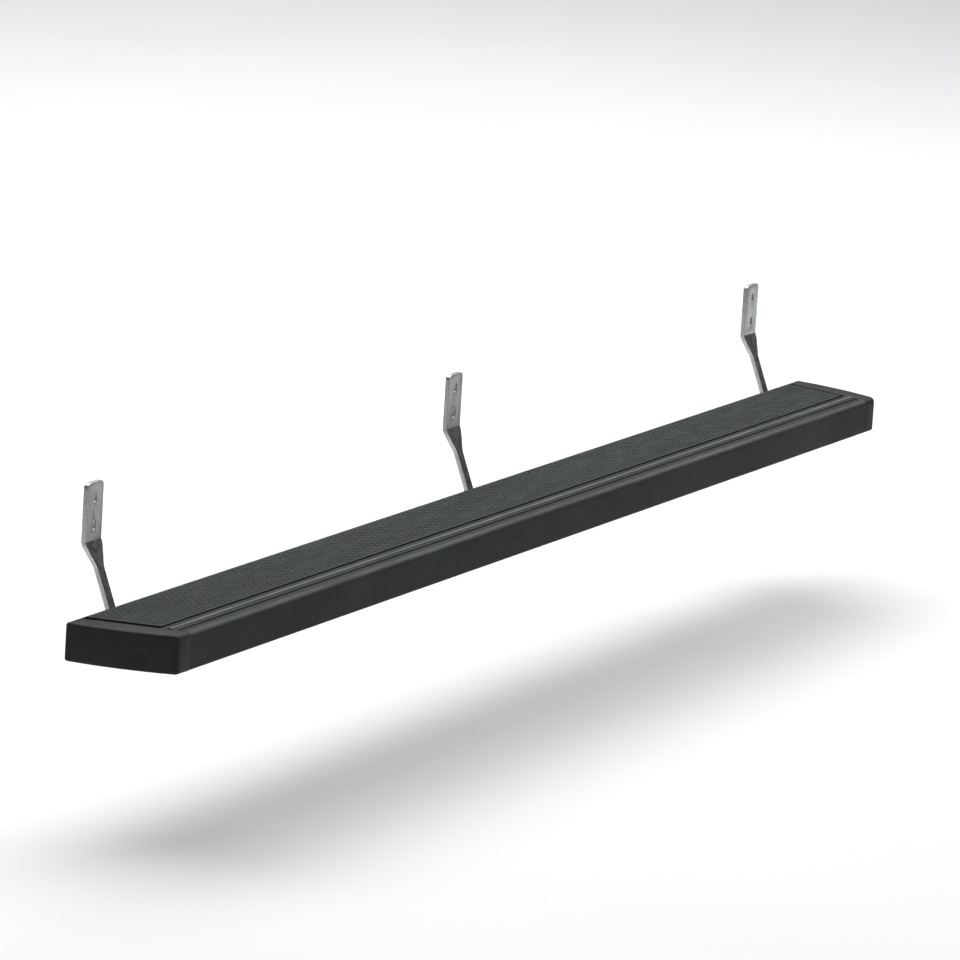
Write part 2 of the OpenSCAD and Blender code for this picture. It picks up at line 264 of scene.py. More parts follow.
def cap_plastic():
    """Black moulded plastic with a fine leather-like grain and faint handling marks."""
    s = Shader("cap_plastic", 0.0, 0.55, specular=0.2)
    grain = s.cells(850)
    cloud = s.noise(30, 3)
    marks = s.ramp(s.noise(38, 6, vector=s.stretched((1.0, 0.3, 1.0))), 0.58, 0.72, 0, 0.35)
    tone = s.mix(s.ramp(cloud, 0.3, 0.7, 0, 1), PLASTIC_DARK, PLASTIC_PALE)
    s.color(s.mix(marks, tone, PLASTIC_MARKED))
    s.rough(s.ramp(cloud, 0.3, 0.7, 0.48, 0.6))
    s.bump((grain, 0.5, 0.25 * MM), (s.noise(2200, 2), 0.3, 0.1 * MM))
    return s.material


def zinc_plate(name, dark, pale, rough_low, rough_high):
    """Galvanised steel: sharp spangle crystals, rolling lines and a dull bloom."""
    s = Shader(name, 1.0, 0.3)
    spangle = s.crystals(230)
    flakes = s.crystals(620)
    lines = s.noise(420, 5, vector=s.stretched((1.0, 1.0, 0.05)))
    bloom = s.noise(17, 5)
    mix = s.math("ADD", s.ramp(spangle, 0, 1, 0, 0.6), s.ramp(flakes, 0, 1, 0, 0.4))
    body = s.mix(mix, dark, pale)
    s.color(s.mix(s.ramp(bloom, 0.52, 0.78, 0, 0.55), body, ZINC_BLOOM))
    facet = s.math("ADD", s.ramp(spangle, 0, 1, rough_low, rough_high), s.ramp(lines, 0.3, 0.7, 0, 0.08))
    s.rough(s.math("ADD", facet, s.ramp(bloom, 0.5, 0.8, 0, 0.12)))
    s.bump((lines, 0.3, 0.05 * MM), (s.noise(1200, 2), 0.2, 0.05 * MM))
    return s.material


def studio_floor():
    """Matt white floor with a very faint cloud."""
    s = Shader("studio_floor", 0.0, 0.75, specular=0.2)
    cloud = s.noise(0.8, 2)
    s.color(s.mix(s.ramp(cloud, 0.3, 0.7, 0, 1), FLOOR_DARK, FLOOR_PALE))
    return s.material


COAT = powder_coat()
RUBBER = tread_rubber()
PLASTIC = cap_plastic()
BRACKET_ZINC = zinc_plate("bracket_zinc", (0.33, 0.338, 0.345), (0.555, 0.563, 0.57), 0.26, 0.4)
BOLT_ZINC = zinc_plate("bolt_zinc", (0.42, 0.427, 0.434), (0.56, 0.567, 0.574), 0.2, 0.3)
SCREW_ZINC = zinc_plate("screw_zinc", (0.28, 0.287, 0.294), (0.39, 0.397, 0.404), 0.26, 0.36)


# ---------------------------------------------------------------- mesh helpers
SMOOTH_DEG = 38


def finish_mesh(mesh, name, material, smooth_deg=SMOOTH_DEG):
    """Makes an object of a mesh, with its normals outward and its smooth faces smooth."""
    bm = bmesh.new()
    bm.from_mesh(mesh)
    bmesh.ops.recalc_face_normals(bm, faces=bm.faces)
    bm.to_mesh(mesh)
    bm.free()
    mesh.materials.clear()
    mesh.materials.append(material)
    mesh.shade_smooth()
    mesh.set_sharp_from_angle(angle=math.radians(smooth_deg))
    piece = bpy.data.objects.new(name, mesh)
    bpy.context.scene.collection.objects.link(piece)
    return piece


def make(name, verts, faces, material, smooth_deg=SMOOTH_DEG):
    """Makes an object of vertices and faces."""
    mesh = bpy.data.meshes.new(name)
    mesh.from_pydata(verts, [], faces)
    mesh.validate()
    return finish_mesh(mesh, name, material, smooth_deg)


def stand_for(piece, node, body):
    """Lets a piece replace a CAD node and ride with its body."""
    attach(piece, body)
    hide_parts(node)


def tube(first, rings, n, faces):
    """Joins rings of n points each, from vertex number first on, into one closed shell."""
    for k in range(rings - 1):
        a = first + k * n
        b = a + n
        for i in range(n):
            j = (i + 1) % n
            faces.append((a + i, a + j, b + j, b + i))
    last = first + (rings - 1) * n
    faces.append(tuple(first + i for i in reversed(range(n))))
    faces.append(tuple(last + i for i in range(n)))


def stack(outlines, verts, faces):
    """Joins (height, outline) pairs with the same number of points into one closed shell."""
    first = len(verts)
    for z, outline in outlines:
        verts += [(x, y, z) for x, y in outline]
    tube(first, len(outlines), len(outlines[0][1]), faces)


def corner(a, b, c, r, n):
    """Points of an arc of radius r that rounds the corner b between a and c."""
    u = (a - b).normalized()
    v = (c - b).normalized()
    half = math.acos(max(-1, min(1, u.dot(v)))) / 2
    mid = b + (u + v).normalized() * (r / math.sin(half))
    p = b + u * (r / math.tan(half)) - mid
    q = b + v * (r / math.tan(half)) - mid
    start = math.atan2(p.y, p.x)
    turn = math.atan2(p.x * q.y - p.y * q.x, p.dot(q))
    return [mid + r * Vector((math.cos(start + turn * i / n), math.sin(start + turn * i / n)))
            for i in range(n + 1)]


def rounded(points):
    """An outline of (x, y, radius) or (x, y, radius, steps), with its corners rounded."""
    out = []
    for i, point in enumerate(points):
        a, b, c = (Vector(points[j % len(points)][:2]) for j in (i - 1, i, i + 1))
        steps = point[3] if len(point) > 3 else CORNER_STEPS
        out += corner(a, b, c, point[2], steps)
    return out


def front_line(y, inset):
    """X at y of the slanted line across the board's front end, moved back by the inset."""
    return X_FRONT + inset + (Y_IN - y) * math.tan(END_ANGLE)


def sweep(loops, inset, stations):
    """Runs a section along the board between its slanted ends. Loop 0 is outside, the rest holes."""
    verts = []
    faces = []
    counts = [len(loop) for loop in loops]
    total = sum(counts)
    for k in range(stations):
        t = k / (stations - 1)
        for loop in loops:
            for p in loop:
                y = Y_OUT + p.x
                x0 = front_line(y, inset)
                x1 = 2 * X_MID - x0
                verts.append((x0 + (x1 - x0) * t, y, Z_BOT + p.y))
    for k in range(stations - 1):
        first = 0
        for count in counts:
            for i in range(count):
                j = (i + 1) % count
                a = k * total + first
                faces.append((a + i, a + j, a + total + j, a + total + i))
            first += count
    ends = tessellate_polygon([[Vector((p.x, p.y, 0)) for p in loop] for loop in loops])
    last = (stations - 1) * total
    faces += [tuple(tri) for tri in ends]
    faces += [tuple(last + i for i in reversed(tri)) for tri in ends]
    return verts, faces


# ---------------------------------------------------------------- deck
EDGE_STEPS = 8
OUTER_EDGE_STEPS = 12
BEAD_FOOT = 2.5 * BEAD_H
BEAD_CREST = 1.2 * BEAD_H
BEAD_FOOT_R = 1.5 * MM
CHAMBER_R = 1.2 * MM
DECK_STATIONS = 9


def deck_outline():
    """Outside of the deck's section, from its outer bottom edge round by the inner side and the top."""
    e = SOFT_EDGE
    m = SLOT_MOUTH / 2
    w = SLOT_INNER / 2
    g = GROOVE_W / 2
    top = SLOT_LIP + SLOT_H
    floor = HEIGHT - TREAD_D
    crest = HEIGHT + BEAD_H
    low = HEIGHT - GROOVE_D
    pts = [(0, 0, BOTTOM_EDGE_R, EDGE_STEPS)]
    for s in SLOT_S:
        pts += [(s - m, 0, e), (s - m, SLOT_LIP, e), (s - w, SLOT_LIP, e), (s - w, top, e),
                (s + w, top, e), (s + w, SLOT_LIP, e), (s + m, SLOT_LIP, e), (s + m, 0, e)]
    pts += [(WIDTH, 0, BOTTOM_EDGE_R, EDGE_STEPS), (WIDTH, HEIGHT, INNER_EDGE_R, EDGE_STEPS)]
    pts += [(WIDTH - TREAD_RIM, HEIGHT, e), (WIDTH - TREAD_RIM, floor, e),
            (TREAD_S, floor, e), (TREAD_S, HEIGHT, e)]
    pts += [(BEAD_S + BEAD_FOOT, HEIGHT, BEAD_FOOT_R), (BEAD_S + BEAD_CREST, crest, BEAD_H),
            (BEAD_S - BEAD_CREST, crest, BEAD_H), (BEAD_S - BEAD_FOOT, HEIGHT, BEAD_FOOT_R)]
    pts += [(GROOVE_S + g, HEIGHT, 2 * e), (GROOVE_S + g, low, e),
            (GROOVE_S - g, low, e), (GROOVE_S - g, HEIGHT, 2 * e)]
    pts += [(0, HEIGHT, OUTER_EDGE_R, OUTER_EDGE_STEPS)]
    return rounded(pts)


def deck_chambers():
    """Sections of the four closed chambers, round the T-slot blocks and the webs."""
    roof = HEIGHT - TREAD_D - WALL
    block = SLOT_LIP + SLOT_H + WALL
    side = SLOT_INNER / 2 + WALL
    half = WALL / 2
    mid = sum(SLOT_S) / 2
    s1, s2 = SLOT_S
    end = WIDTH - WALL
    outer = [(WALL, WALL), (s1 - side, WALL), (s1 - side, block), (s1 - half, block),
             (s1 - half, roof), (WALL, roof)]
    outer_mid = [(s1 + side, WALL), (mid - half, WALL), (mid - half, roof), (s1 + half, roof),
                 (s1 + half, block), (s1 + side, block)]
    inner_mid = [(mid + half, WALL), (s2 - side, WALL), (s2 - side, block), (s2 - half, block),
                 (s2 - half, roof), (mid + half, roof)]
    inner = [(s2 + side, WALL), (end, WALL), (end, roof), (s2 + half, roof),
             (s2 + half, block), (s2 + side, block)]
    chambers = (outer, outer_mid, inner_mid, inner)
    return [rounded([(*p, CHAMBER_R) for p in chamber]) for chamber in chambers]


def build_deck():
    """The hollow extrusion, cut off at a slant at both ends."""
    inset = deck_low.x - X_FRONT
    verts, faces = sweep([deck_outline(), *deck_chambers()], inset, DECK_STATIONS)
    return make("deck_extrusion", verts, faces, COAT)


# ---------------------------------------------------------------- tread mat
LUG_L = 7.8 * MM
LUG_W = 2.8 * MM
LUG_H = 1.1 * MM
LUG_PITCH = 7.9 * MM
LUG_MARGIN = 5.0 * MM
LUG_TURN = math.radians(45)
LUG_SIDES = 8
# Rise and inset of each ring of a lug, of which the first is sunk into the mat and a little wider
LUG_RINGS = ((-0.3 * MM, -0.25 * MM), (0.65 * LUG_H, 0.1 * MM), (LUG_H, 0.6 * MM))
MAT_FOOT_R = 0.3 * MM
MAT_TOP_R = 1.2 * MM
MAT_TOP_STEPS = 5
MAT_STATIONS = 5


def lug(x, y, z, turn, verts, faces):
    """One raised lozenge of the grip pattern, a closed shell sunk a little into the mat."""
    first = len(verts)
    c = math.cos(turn)
    s = math.sin(turn)
    for rise, inset in LUG_RINGS:
        for i in range(LUG_SIDES):
            a = TAU * i / LUG_SIDES
            u = (LUG_L / 2 - inset) * math.cos(a)
            v = (LUG_W / 2 - inset) * math.sin(a)
            verts.append((x + u * c - v * s, y + u * s + v * c, z + rise))
    tube(first, len(LUG_RINGS), LUG_SIDES, faces)


def build_tread():
    """The mat, and rows of lugs that lean left and right by turns."""
    floor = mat_low.z - Z_BOT
    top = mat_high.z - Z_BOT
    left = mat_low.y - Y_OUT
    right = mat_high.y - Y_OUT
    outline = rounded([(left, floor, MAT_FOOT_R), (right, floor, MAT_FOOT_R),
                       (right, top, MAT_TOP_R, MAT_TOP_STEPS), (left, top, MAT_TOP_R, MAT_TOP_STEPS)])
    inset = mat_low.x - front_line(mat_high.y, 0)
    verts, faces = sweep([outline], inset, MAT_STATIONS)
    rows = int((mat_high.y - mat_low.y - 2 * LUG_MARGIN) / LUG_PITCH)
    spare = (mat_high.y - mat_low.y - rows * LUG_PITCH) / 2
    for j in range(rows + 1):
        y = mat_low.y + spare + j * LUG_PITCH
        reach = X_MID - front_line(y, inset) - LUG_MARGIN
        last = math.floor(reach / LUG_PITCH)
        for i in range(-last, last + 1):
            turn = LUG_TURN if (i + j) % 2 else -LUG_TURN
            lug(X_MID + i * LUG_PITCH, y, mat_high.z, turn, verts, faces)
    return make("tread_grip_mat", verts, faces, RUBBER)


# ---------------------------------------------------------------- end caps
# Steps round each corner or edge, and across the top and the bottom
CAP_STEPS = 7
CAP_SPAN = 28
CAP_EDGE_R = 4 * MM
CAP_LEAST_R = 0.3 * MM
PARTING = 0.35 * MM
# Inset and step forward of each ring where the cap meets the deck
SEAM_RINGS = ((0.5 * MM, 0.0), (0.12 * MM, 0.15 * MM), (0.0, 0.6 * MM))


def cap_section(inset):
    """Section of a cap, shrunk by the inset, as two chains from its outer to its inner side."""
    y0 = inset
    y1 = WIDTH - inset
    z0 = inset
    z1 = HEIGHT - inset

    def arc(y, z, r, start):
        r = max(r - inset, CAP_LEAST_R)
        y += r if y == y0 else -r
        z += r if z == z0 else -r
        angles = [start + i * math.pi / 2 / CAP_STEPS for i in range(CAP_STEPS + 1)]
        return [(y + r * math.cos(a), z + r * math.sin(a)) for a in angles]

    def between(a, b):
        shares = [i / CAP_SPAN for i in range(1, CAP_SPAN)]
        return [(a[0] + (b[0] - a[0]) * t, a[1] + (b[1] - a[1]) * t) for t in shares]

    low_out = arc(y0, z0, BOTTOM_EDGE_R, math.pi)
    low_in = arc(y1, z0, BOTTOM_EDGE_R, -math.pi / 2)
    top_in = arc(y1, z1, INNER_EDGE_R, 0)
    top_out = arc(y0, z1, OUTER_EDGE_R, math.pi / 2)
    below = low_out + between(low_out[-1], low_in[0]) + low_in
    above = (top_in + between(top_in[-1], top_out[0]) + top_out)[::-1]
    return below, above


def bowed_end(y):
    """X of the front cap's bowed end face at y."""
    chord = WIDTH / math.cos(END_ANGLE)
    radius = chord * chord / (8 * END_CROWN) + END_CROWN / 2
    back = radius - END_CROWN
    cx = X_FRONT + WIDTH * math.tan(END_ANGLE) / 2 + back * math.cos(END_ANGLE)
    cy = (Y_IN + Y_OUT) / 2 + back * math.sin(END_ANGLE)
    return cx - math.sqrt(radius * radius - (y - cy) ** 2)


def build_cap(name, rear):
    """A cap from the parting line to its bowed end, with every outer edge rounded."""
    seam = deck_low.x - X_FRONT - PARTING
    rings = []
    for inset, step in SEAM_RINGS:
        rings.append((inset, lambda y, step=step: front_line(y, seam - step)))
    for i in range(CAP_STEPS + 1):
        a = math.pi / 2 * i / CAP_STEPS
        inset = CAP_EDGE_R * (1 - math.cos(a))
        back = CAP_EDGE_R * (1 - math.sin(a))
        rings.append((inset, lambda y, back=back: bowed_end(y) + back))
    verts = []
    faces = []
    for inset, x_at in rings:
        below, above = cap_section(inset)
        for y, z in below + above[::-1]:
            x = x_at(Y_OUT + y)
            verts.append((2 * X_MID - x if rear else x, Y_OUT + y, Z_BOT + z))
    chain = len(below)
    loop = 2 * chain
    for k in range(len(rings) - 1):
        a = k * loop
        b = a + loop
        for i in range(loop):
            j = (i + 1) % loop
            faces.append((a + i, a + j, b + j, b + i))
    for base in (0, (len(rings) - 1) * loop):
        for i in range(chain - 1):
            faces.append((base + i, base + i + 1, base + loop - 2 - i, base + loop - 1 - i))
    return make(name, verts, faces, PLASTIC)


# ---------------------------------------------------------------- brackets
RIB_T = 5 * MM
PLATE_T = 8 * MM
RIB_INSET = 12 * MM
NECK_GAP = 10 * MM
BRACKET_EDGE = 0.9 * MM
BRACKET_MERGE = 0.002 * MM
FLAT_DEG = 0.5
SHARP_DEG = 30
WELD_R = 2.4 * MM
WELD_LEAST_R = 0.1 * MM
WELD_RIPPLE = 3.2 * MM
RIPPLE_SHARE = 0.14
WELD_BOW = 0.4 * MM
WELD_SINK = 0.2 * MM
WELD_RISE = 0.15 * MM
WELD_SIDES = 10
ROWS_PER_RIPPLE = 6
WELD_FROM_RIB_START = 5 * MM
WELD_FROM_RIB_END = 4 * MM
WELD_SMOOTH_DEG = 60


def weld_bead(x, y0, y1, z, side, verts, faces):
    """A rippled fillet weld in the corner between a rib and the foot, closed at both ends."""
    rows = int((y1 - y0) / (WELD_RIPPLE / ROWS_PER_RIPPLE))
    first = len(verts)
    for k in range(rows + 1):
        y = y0 + (y1 - y0) * k / rows
        end = min(1, math.sqrt(max(0, min(y - y0, y1 - y)) / WELD_R))
        ripple = abs(math.sin(math.pi * (y - y0) / WELD_RIPPLE))
        r = max(WELD_R * end * (1 - RIPPLE_SHARE + RIPPLE_SHARE * ripple), WELD_LEAST_R)
        for i in range(WELD_SIDES):
            a = TAU * i / WELD_SIDES
            bow = WELD_BOW * math.cos(a) ** 2
            verts.append((x - side * WELD_SINK + r * math.cos(a), y + bow, z + r * math.sin(a)))
    tube(first, rows + 1, WELD_SIDES, faces)


def build_bracket(name):
    """The bent plate, with the welds that hold its two ribs."""
    node = f"{name}_bracket"
    plate = refined(node, f"{node}_plate", BRACKET_ZINC, BRACKET_EDGE)
    low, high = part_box(node)
    x = (low.x + high.x) / 2
    foot_half = (high.x - low.x) / 2
    foot_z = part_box(f"{name}_washers")[1].z + WELD_RISE
    weld_start = low.y + RIB_INSET + WELD_FROM_RIB_START
    weld_end = Y_IN + NECK_GAP + PLATE_T - RIB_INSET - WELD_FROM_RIB_END
    verts = []
    faces = []
    for side in (-1, 1):
        corner_x = x + side * (foot_half - RIB_T)
        weld_bead(corner_x, weld_start, weld_end, foot_z, side, verts, faces)
    bead = make(f"{name}_welds", verts, faces, BRACKET_ZINC, WELD_SMOOTH_DEG)
    return joined(plate, bead)


def joined(piece, extra):
    """Adds another object's mesh to a piece, and removes that object."""
    bm = bmesh.new()
    bm.from_mesh(piece.data)
    bm.from_mesh(extra.data)
    bm.to_mesh(piece.data)
    bm.free()
    bpy.data.objects.remove(extra)
    return piece


def refined(node, name, material, width):
    """A copy of a CAD node's mesh with its flat faces joined and its edges softly rounded."""
    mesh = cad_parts[node].data.copy()
    bm = bmesh.new()
    bm.from_mesh(mesh)
    bmesh.ops.remove_doubles(bm, verts=bm.verts, dist=BRACKET_MERGE)
    bmesh.ops.dissolve_limit(bm, angle_limit=math.radians(FLAT_DEG), verts=bm.verts, edges=bm.edges)
    limit = math.radians(SHARP_DEG)
    sharp = [e for e in bm.edges if len(e.link_faces) == 2 and e.calc_face_angle() > limit]
    bmesh.ops.bevel(bm, geom=sharp, offset=width, segments=2, profile=0.6,
                    affect="EDGES", clamp_overlap=True)
    bm.to_mesh(mesh)
    bm.free()
    return finish_mesh(mesh, name, material)


# ---------------------------------------------------------------- hardware
BOLT_R = 4 * MM
THREAD_PITCH = 1.25 * MM
THREAD_DEPTH = 0.55 * MM
THREAD_SIDES = 28
ROWS_PER_TURN = 10
THREAD_LEAD_IN = 1.2 * MM
BOLT_CHAMFER = 0.5 * MM
BOLT_EDGE = 0.5 * MM
THREAD_TOP = 2.5 * MM
NECK_HALF = 4 * MM
NECK_RISE = 1 * MM
NECK_IN_HEAD = 0.2 * MM
HEAD_HALF_W = 6.5 * MM
HEAD_H = 5 * MM
HEAD_STEPS = 8
RING_EDGE = 0.25 * MM
WASHER_HOLE_R = 4.2 * MM
WASHER_STEPS = 56
SPRING_HOLE_R = 4.1 * MM
SPRING_STEPS = 48
SPRING_GAP = math.radians(9)
SPRING_TURN = math.radians(40)
NUT_BORE_R = 4.06 * MM
NUT_BORE_EDGE = 0.6 * MM
NUT_FACE_SHARE = 0.94
NUT_CONE = math.radians(30)
NUT_STEPS = 72
NUT_SMOOTH_DEG = 28
BOLT_SMOOTH_DEG = 30


def revolve(profile, steps, verts, faces, at, start=0.0, sweep_angle=TAU, radius_at=None):
    """Turns a closed (radius, height) profile about Z at a point; end faces close a part turn."""
    first = len(verts)
    whole = abs(sweep_angle - TAU) < 1e-6
    count = steps if whole else steps + 1
    n = len(profile)
    for k in range(count):
        a = start + sweep_angle * k / steps
        for r, h in profile:
            if radius_at:
                r, h = radius_at(r, h, a)
            verts.append((at.x + r * math.cos(a), at.y + r * math.sin(a), at.z + h))
    for k in range(steps):
        a = first + k * n
        b = first + ((k + 1) % count) * n
        for i in range(n):
            j = (i + 1) % n
            faces.append((a + i, a + j, b + j, b + i))
    if not whole:
        faces.append(tuple(first + i for i in range(n)))
        faces.append(tuple(first + steps * n + i for i in reversed(range(n))))


def feet_under_slots(node):
    """Lowest points on the axes of a hardware node's two solids, which lie under the T-slots."""
    low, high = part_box(node)
    x = (low.x + high.x) / 2
    return [Vector((x, Y_OUT + s, low.z)) for s in SLOT_S]


def ring_profile(node, hole):
    """Section of a flat ring that fills a node's box, with its four edges broken."""
    low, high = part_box(node)
    r = (high.x - low.x) / 2
    t = high.z - low.z
    e = RING_EDGE
    return [(hole, e), (hole + e, 0), (r - e, 0), (r, e),
            (r, t - e), (r - e, t), (hole + e, t), (hole, t - e)]


def build_washers(name):
    """Flat washers."""
    node = f"{name}_washers"
    profile = ring_profile(node, WASHER_HOLE_R)
    verts = []
    faces = []
    for at in feet_under_slots(node):
        revolve(profile, WASHER_STEPS, verts, faces, at)
    return make(f"{name}_flat_washers", verts, faces, BOLT_ZINC)


def build_lock_washers(name):
    """Spring washers, each a ring with a narrow split."""
    node = f"{name}_lock_washers"
    profile = ring_profile(node, SPRING_HOLE_R)
    start = SPRING_TURN + SPRING_GAP / 2
    verts = []
    faces = []
    for at in feet_under_slots(node):
        revolve(profile, SPRING_STEPS, verts, faces, at, start, TAU - SPRING_GAP)
    return make(f"{name}_spring_washers", verts, faces, BOLT_ZINC)


def build_nuts(name):
    """Hex nuts whose chamfered corners come from a 30 degree cone."""
    low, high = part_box(f"{name}_nuts")
    half_flat = (high.x - low.x) / 2 * math.cos(math.pi / 6)
    t = high.z - low.z
    bore = NUT_BORE_R
    e = NUT_BORE_EDGE
    chamfer_r = NUT_FACE_SHARE * half_flat
    slope = math.tan(NUT_CONE)

    def hexed(r, h, a):
        if r <= chamfer_r:
            return r, h
        flat = half_flat / math.cos((a % (math.pi / 3)) - math.pi / 6)
        drop = (flat - chamfer_r) * slope
        return flat, (t - drop if h > t / 2 else drop)

    verts = []
    faces = []
    profile = [(bore, e), (bore + e, 0), (chamfer_r, 0), (half_flat, 0),
               (half_flat, t), (chamfer_r, t), (bore + e, t), (bore, t - e)]
    for at in feet_under_slots(f"{name}_nuts"):
        revolve(profile, NUT_STEPS, verts, faces, at, radius_at=hexed)
    return make(f"{name}_hex_nuts", verts, faces, BOLT_ZINC, NUT_SMOOTH_DEG)


def threaded_shank(at, z0, z1, verts, faces):
    """A shank with a real helical thread, from z0 to z1, closed at both ends."""
    rows = int((z1 - z0) / THREAD_PITCH * ROWS_PER_TURN)
    first = len(verts)
    for k in range(rows + 1):
        z = z0 + (z1 - z0) * k / rows
        fade = min(1, (z - z0) / THREAD_LEAD_IN)
        for i in range(THREAD_SIDES):
            a = TAU * i / THREAD_SIDES
            phase = (z / THREAD_PITCH - i / THREAD_SIDES) % 1
            cut = abs(2 * phase - 1)
            r = BOLT_R - THREAD_DEPTH * cut - (1 - fade) * BOLT_CHAMFER
            verts.append((at.x + r * math.cos(a), at.y + r * math.sin(a), z))
    tube(first, rows + 1, THREAD_SIDES, faces)


def build_t_bolts(name):
    """T-bolts: a threaded shank, a square neck in the slot's mouth and a hammer head."""
    low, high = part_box(f"{name}_t_bolts")
    half_l = (high.x - low.x) / 2
    head_z = high.z - HEAD_H
    verts = []
    faces = []
    for at in feet_under_slots(f"{name}_t_bolts"):
        threaded_shank(at, low.z, Z_BOT + THREAD_TOP, verts, faces)
        hammer_head(at, head_z, high.z, half_l, verts, faces)
        square_neck(at, Z_BOT + NECK_RISE, head_z + NECK_IN_HEAD, verts, faces)
    return make(f"{name}_hammer_bolts", verts, faces, BOLT_ZINC, BOLT_SMOOTH_DEG)


def soft_block(outline, z0, z1, verts, faces):
    """A block between two heights whose outline(inset) draws in at its top and bottom edges."""
    e = BOLT_EDGE
    stack([(z0, outline(e)), (z0 + e, outline(0)), (z1 - e, outline(0)), (z1, outline(e))],
          verts, faces)


def square_neck(at, z0, z1, verts, faces):
    """The neck that stops a T-bolt from turning in the slot's mouth."""
    e = BOLT_EDGE

    def outline(inset):
        h = NECK_HALF - inset
        points = rounded([(-h, -h, e), (h, -h, e), (h, h, e), (-h, h, e)])
        return [(at.x + p.x, at.y + p.y) for p in points]

    soft_block(outline, z0, z1, verts, faces)


def hammer_head(at, z0, z1, half_l, verts, faces):
    """A flat-sided head with round ends."""
    limit = math.asin(HEAD_HALF_W / half_l)

    def outline(inset):
        along = half_l - inset
        across = (HEAD_HALF_W - inset) / HEAD_HALF_W * half_l
        out = []
        for side in (0, math.pi):
            for i in range(HEAD_STEPS + 1):
                a = side - limit + 2 * limit * i / HEAD_STEPS
                out.append((at.x + along * math.cos(a), at.y + across * math.sin(a)))
        return out

    soft_block(outline, z0, z1, verts, faces)


# ---------------------------------------------------------------- cap screws
PAN_R = 4 * MM
PAN_H = 2.4 * MM
PAN_CROWN = 0.9 * MM
PAN_RIM = 1.3 * MM
PAN_EDGE_ANGLE = 1.2
PAN_ANGLES = (0.2, 0.5, 0.8, PAN_EDGE_ANGLE)
SCREW_R = 2.1 * MM
SCREW_STEPS = 40
SCREW_SMOOTH_DEG = 30
CROSS_ARM = 2.1 * MM
CROSS_HALF = 0.45 * MM
CROSS_FROM = -0.5 * MM
CROSS_MOUTH = 0.1 * MM
CROSS_DEPTH = 1.3 * MM
CROSS_TAPER = 0.45
CUT_MERGE = 0.005 * MM


def screw_feet(node):
    """Lowest points of the axes of a node's two screws, the outer one first."""
    low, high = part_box(node)
    middle = (low.y + high.y) / 2
    points = [v.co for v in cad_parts[node].data.vertices]
    feet = []
    for group in ([p for p in points if p.y < middle], [p for p in points if p.y > middle]):
        x = (min(p.x for p in group) + max(p.x for p in group)) / 2
        y = (min(p.y for p in group) + max(p.y for p in group)) / 2
        feet.append(Vector((x, y, low.z)))
    return feet


def pan_screw(at, length, verts, faces):
    """A solid screw with a domed pan head below and a plain shank above."""
    profile = []
    for a in PAN_ANGLES:
        rise = PAN_CROWN * (1 - math.cos(a)) / (1 - math.cos(PAN_EDGE_ANGLE))
        profile.append((PAN_R * math.sin(a), rise))
    profile += [(PAN_R, PAN_RIM), (PAN_R, PAN_H), (SCREW_R, PAN_H), (SCREW_R, length)]
    angles = [TAU * i / SCREW_STEPS for i in range(SCREW_STEPS)]
    rings = []
    for r, h in profile:
        rings.append((at.z + h, [(at.x + r * math.cos(a), at.y + r * math.sin(a)) for a in angles]))
    stack(rings, verts, faces)


def cross_cutter(feet):
    """Tapered crosses that cut the driver's recesses."""
    arm = CROSS_ARM
    half = CROSS_HALF
    plus = [(arm, -half), (arm, half), (half, half), (half, arm),
            (-half, arm), (-half, half), (-arm, half), (-arm, -half),
            (-half, -half), (-half, -arm), (half, -arm), (half, -half)]
    verts = []
    faces = []
    for at in feet:
        wide = [(at.x + x, at.y + y) for x, y in plus]
        slim = [(at.x + CROSS_TAPER * x, at.y + CROSS_TAPER * y) for x, y in plus]
        stack([(at.z + CROSS_FROM, wide), (at.z + CROSS_MOUTH, wide), (at.z + CROSS_DEPTH, slim)],
              verts, faces)
    return make("cross_cutter", verts, faces, SCREW_ZINC)


def cut_away(piece, cutter):
    """Takes the cutter's solid out of a piece, and removes the cutter."""
    cut = piece.modifiers.new("cross", "BOOLEAN")
    cut.object = cutter
    cut.solver = "EXACT"
    bpy.context.view_layer.update()
    depsgraph = bpy.context.evaluated_depsgraph_get()
    mesh = bpy.data.meshes.new_from_object(piece.evaluated_get(depsgraph))
    piece.modifiers.clear()
    bm = bmesh.new()
    bm.from_mesh(mesh)
    bmesh.ops.remove_doubles(bm, verts=bm.verts, dist=CUT_MERGE)
    bmesh.ops.dissolve_degenerate(bm, edges=bm.edges, dist=CUT_MERGE)
    bm.to_mesh(mesh)
    bm.free()
    piece.data = mesh
    bpy.data.objects.remove(cutter)


def build_cap_screws(end):
    """Pan-head screws with a cross recess, driven in from below."""
    node = f"{end}_cap_screws"
    low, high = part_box(node)
    feet = screw_feet(node)
    verts = []
    faces = []
    for at in feet:
        pan_screw(at, high.z - low.z, verts, faces)
    piece = make(f"{end}_pan_screws", verts, faces, SCREW_ZINC, SCREW_SMOOTH_DEG)
    cut_away(piece, cross_cutter(feet))
    return piece


# ---------------------------------------------------------------- camera, light and floor
VIEW_FROM = Vector((-10.172, -5.401, 2.346))
VIEW_ROLL = math.radians(3.6)
LENS = 262
SENSOR_MM = 36
FAR_CLIP = 100
AIM = Vector((X_MID - 0.12, (Y_OUT + Y_IN) / 2, Z_TOP + 0.05))
FLOOR_DROP = 0.36
FLOOR_HALF = 40
WHITE = (1, 1, 1)
COOL = (0.97, 0.98, 1.0)
COOLER = (0.96, 0.98, 1.0)
SKY = (0.93, 0.96, 1.0, 1)
SKY_HEIGHTS = (0.15, 0.95)
SKY_STRENGTHS = (0.025, 0.28)


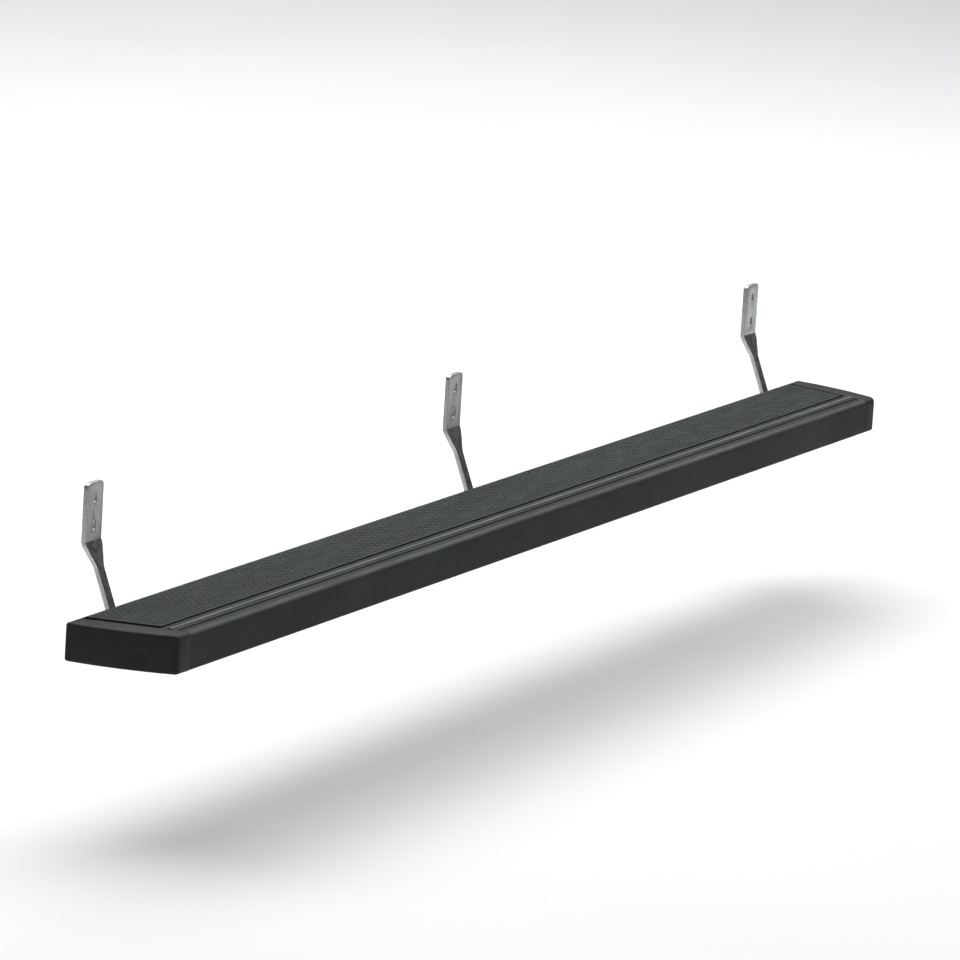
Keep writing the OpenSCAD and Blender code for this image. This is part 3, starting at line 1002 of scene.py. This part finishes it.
def build_camera():
    """Looks at the board from the photo's angle and roll; the plain view transform keeps white white."""
    data = bpy.data.cameras.new("camera")
    data.lens = LENS
    data.sensor_width = SENSOR_MM
    data.clip_end = FAR_CLIP
    camera = bpy.data.objects.new("camera", data)
    bpy.context.scene.collection.objects.link(camera)
    turn = (AIM - VIEW_FROM).to_track_quat("-Z", "Y").to_matrix().to_4x4()
    camera.matrix_world = Matrix.Translation(VIEW_FROM) @ turn @ Matrix.Rotation(VIEW_ROLL, 4, "Z")
    bpy.context.scene.camera = camera
    bpy.context.scene.view_settings.view_transform = "Standard"


def area_light(name, place, aim, size, power, color=WHITE):
    """A soft rectangular lamp; its size is (width, height) in metres and its power in watts."""
    data = bpy.data.lights.new(name, "AREA")
    data.shape = "RECTANGLE"
    data.size = size[0]
    data.size_y = size[1]
    data.energy = power
    data.color = color
    lamp = bpy.data.objects.new(name, data)
    lamp.location = place
    lamp.rotation_euler = (Vector(aim) - Vector(place)).to_track_quat("-Z", "Y").to_euler()
    bpy.context.scene.collection.objects.link(lamp)


def studio_sky():
    """A dim world, paler overhead than at the horizon, so that bare metal has something to mirror."""
    world = bpy.data.worlds.new("studio")
    bpy.context.scene.world = world
    world.use_nodes = True
    tree = world.node_tree
    place = tree.nodes.new("ShaderNodeTexCoord")
    split = tree.nodes.new("ShaderNodeSeparateXYZ")
    tree.links.new(place.outputs["Generated"], split.inputs[0])
    ramp = tree.nodes.new("ShaderNodeMapRange")
    ramp.inputs["From Min"].default_value = SKY_HEIGHTS[0]
    ramp.inputs["From Max"].default_value = SKY_HEIGHTS[1]
    ramp.inputs["To Min"].default_value = SKY_STRENGTHS[0]
    ramp.inputs["To Max"].default_value = SKY_STRENGTHS[1]
    tree.links.new(split.outputs["Z"], ramp.inputs["Value"])
    background = tree.nodes["Background"]
    background.inputs["Color"].default_value = SKY
    tree.links.new(ramp.outputs["Result"], background.inputs["Strength"])


def build_studio():
    """A pale floor far wider than the picture, the sky and four soft lamps."""
    h = FLOOR_HALF
    z = Z_TOP - FLOOR_DROP
    verts = [(-h, -h, z), (h, -h, z), (h, h, z), (-h, h, z)]
    floor = make("floor", verts, [(0, 1, 2, 3)], studio_floor())
    studio_sky()
    area_light("overhead", place=(0.4, 1.4, 5.5), aim=(0, 0.2, -0.3), size=(9, 7), power=620)
    area_light("backdrop", place=(7.0, 4.2, 4.5), aim=(7.0, 4.2, -0.5), size=(8, 7), power=190)
    area_light("edge_strip", place=(6.5, -1.2, 3.2), aim=(0, -0.15, -0.15), size=(3, 1.2),
               power=62, color=COOL)
    area_light("side_wash", place=(-2.5, -7.0, 2.0), aim=(0, -0.1, -0.2), size=(4, 1.5),
               power=9, color=COOLER)


# ---------------------------------------------------------------- the object
build_camera()
stand_for(build_deck(), "deck", "board")
stand_for(build_tread(), "tread_mat", "board")
for end in ("front", "rear"):
    cap = build_cap(f"{end}_moulded_cap", end == "rear")
    stand_for(cap, f"{end}_end_cap", "board")
    stand_for(build_cap_screws(end), f"{end}_cap_screws", "board")
for name in SETS:
    stand_for(build_bracket(name), f"{name}_bracket", f"{name}_bracket")
    clamp = f"{name}_clamp"
    stand_for(build_t_bolts(name), f"{name}_t_bolts", clamp)
    stand_for(build_washers(name), f"{name}_washers", clamp)
    stand_for(build_lock_washers(name), f"{name}_lock_washers", clamp)
    stand_for(build_nuts(name), f"{name}_nuts", clamp)
build_studio()
